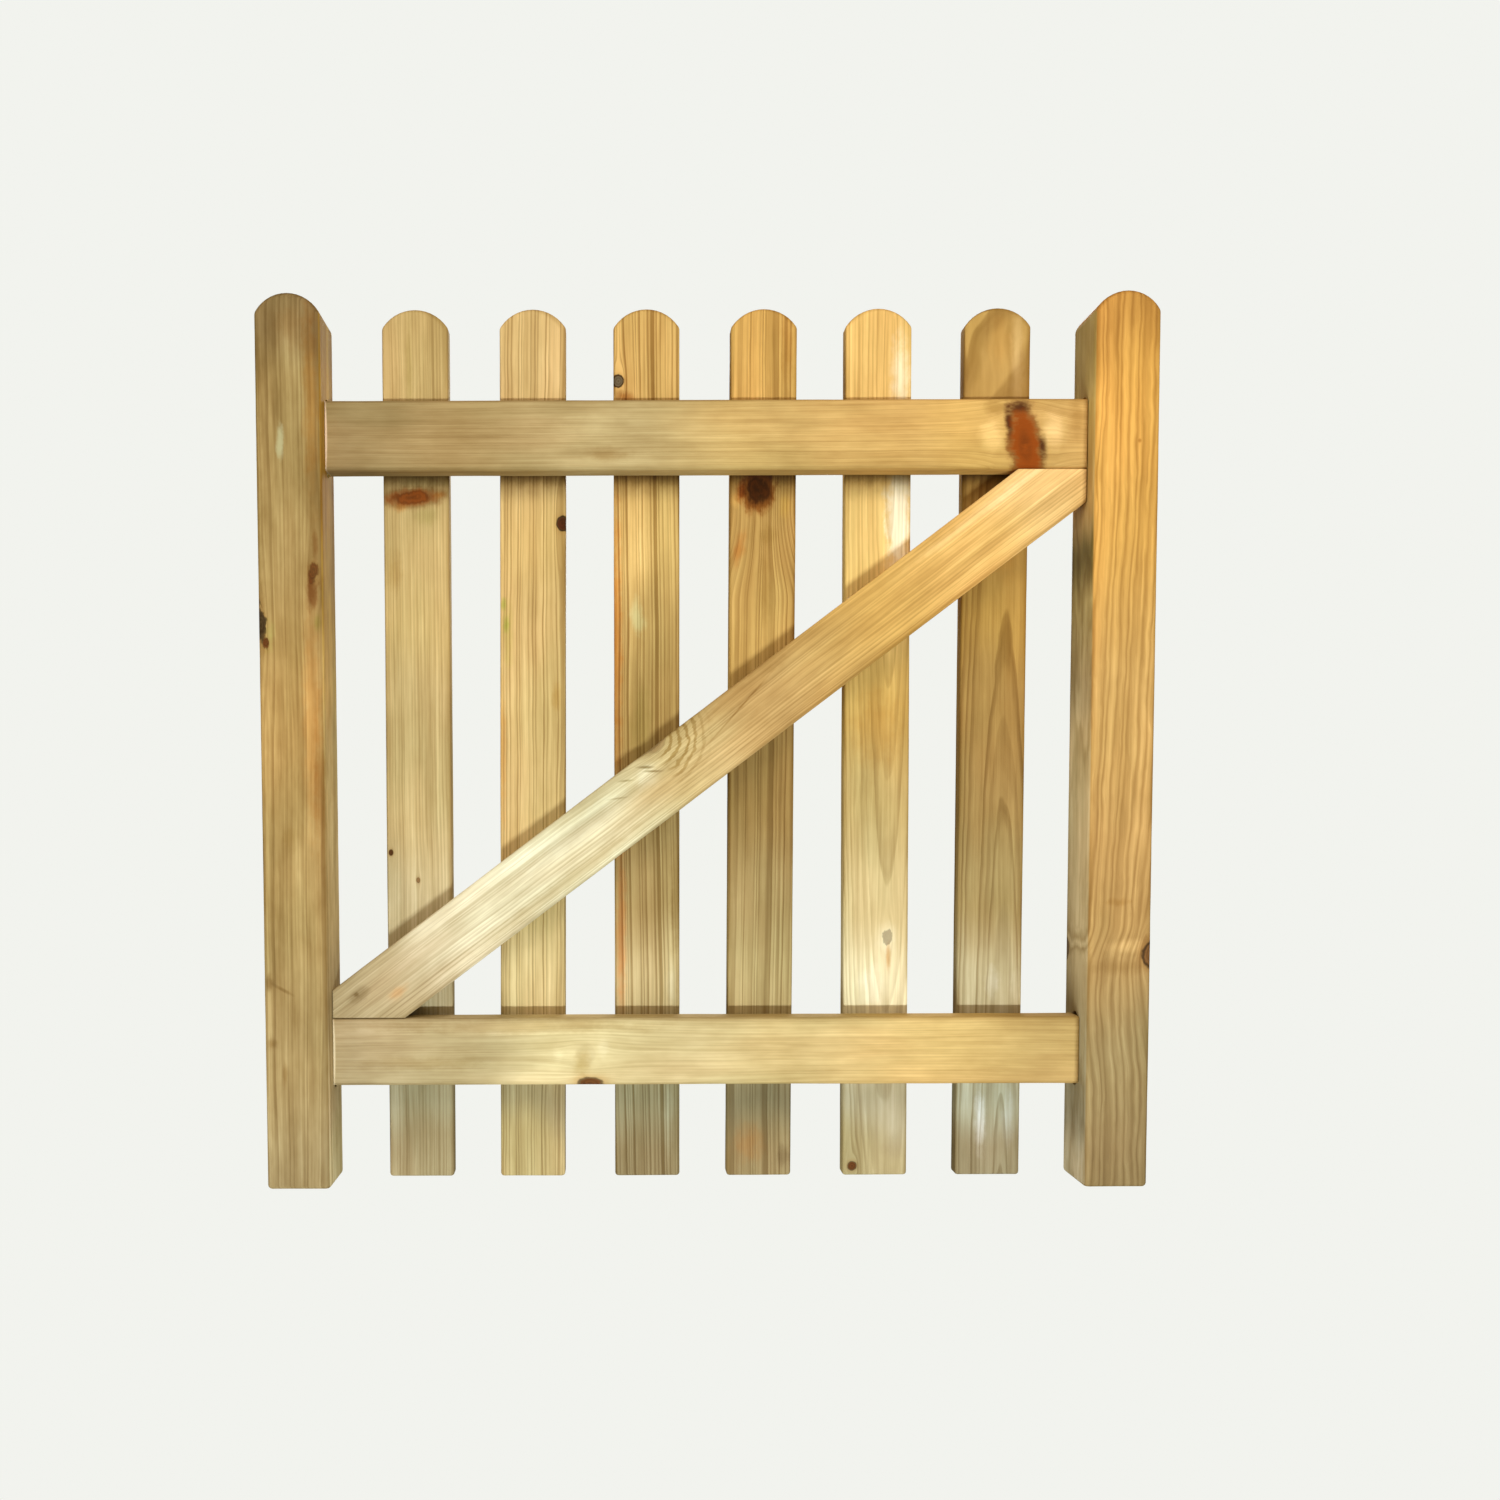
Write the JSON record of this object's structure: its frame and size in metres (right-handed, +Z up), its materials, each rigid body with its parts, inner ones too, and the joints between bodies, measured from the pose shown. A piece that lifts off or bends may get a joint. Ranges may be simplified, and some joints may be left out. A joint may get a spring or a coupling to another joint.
{
  "type": "garden gate",
  "caption": "Framed picket gate leaf: round-topped stiles and pickets, rails tenoned into the stiles and a corner-to-corner brace; ready for hinges and a latch.",
  "frame": {"origin": "middle of the leaf's footprint, at the level of the stiles' and pickets' feet", "axes": "+Z up; +X from the hinge stile to the latch stile; +Y from the framing side (rails and brace) to the picket side"},
  "size_m": [0.9, 0.065, 0.9],
  "materials": {
    "stile": "planed pressure-treated softwood, matt",
    "rail": "planed pressure-treated softwood, matt",
    "brace": "planed pressure-treated softwood, matt",
    "picket": "planed pressure-treated softwood, matt",
    "nail": "dull galvanised"
  },
  "bodies": {
    "root": {"brace": "brace", "nail_b1a": "nail", "nail_b1b": "nail", "nail_b2a": "nail", "nail_b2b": "nail", "nail_b3a": "nail", "nail_b3b": "nail", "nail_b4a": "nail", "nail_b4b": "nail", "nail_b5a": "nail", "nail_b5b": "nail", "nail_b6a": "nail", "nail_b6b": "nail", "nail_d1": "nail", "nail_d2": "nail", "nail_d3": "nail", "nail_d4": "nail", "nail_d5": "nail", "nail_d6": "nail", "nail_t1a": "nail", "nail_t1b": "nail", "nail_t2a": "nail", "nail_t2b": "nail", "nail_t3a": "nail", "nail_t3b": "nail", "nail_t4a": "nail", "nail_t4b": "nail", "nail_t5a": "nail", "nail_t5b": "nail", "nail_t6a": "nail", "nail_t6b": "nail", "picket_1": "picket", "picket_2": "picket", "picket_3": "picket", "picket_4": "picket", "picket_5": "picket", "picket_6": "picket", "pin_hinge_bottom": "nail", "pin_hinge_top": "nail", "pin_latch_bottom": "nail", "pin_latch_top": "nail", "rail_bottom": "rail", "rail_top": "rail", "stile_hinge": "stile", "stile_latch": "stile"}
  },
  "joints": []
}
